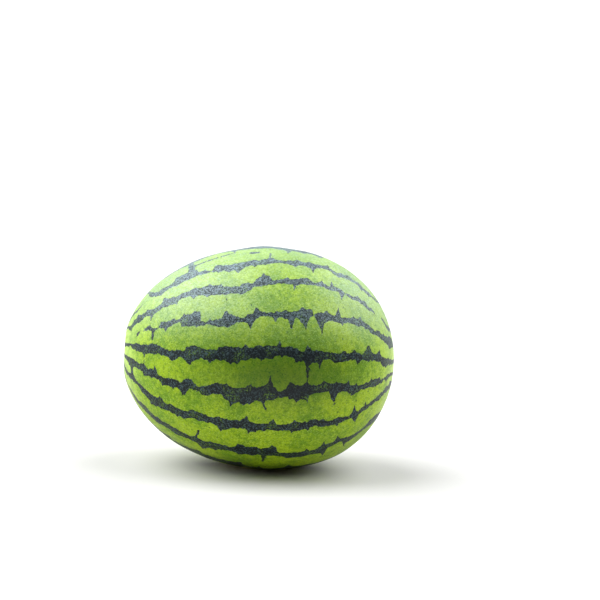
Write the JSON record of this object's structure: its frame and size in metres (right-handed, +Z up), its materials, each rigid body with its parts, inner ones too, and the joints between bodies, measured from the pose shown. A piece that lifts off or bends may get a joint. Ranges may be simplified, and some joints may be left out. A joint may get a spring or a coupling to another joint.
{
  "type": "watermelon",
  "caption": "Whole oval watermelon, fuller at the blossom end, with jagged dark green stripes on a light green rind; it lies on a small flat spot.",
  "frame": {"origin": "under the middle of the fruit's length and width, on the surface that its flat spot rests on", "axes": "+X along the fruit's axis from the stem end to the fuller blossom end, +Z up from the flat spot"},
  "size_m": [0.27, 0.225, 0.223],
  "materials": {
    "rind": "satin waxy fruit skin, light yellow-green with jagged blackish green stripes"
  },
  "bodies": {
    "root": {"watermelon": "rind"}
  },
  "joints": []
}
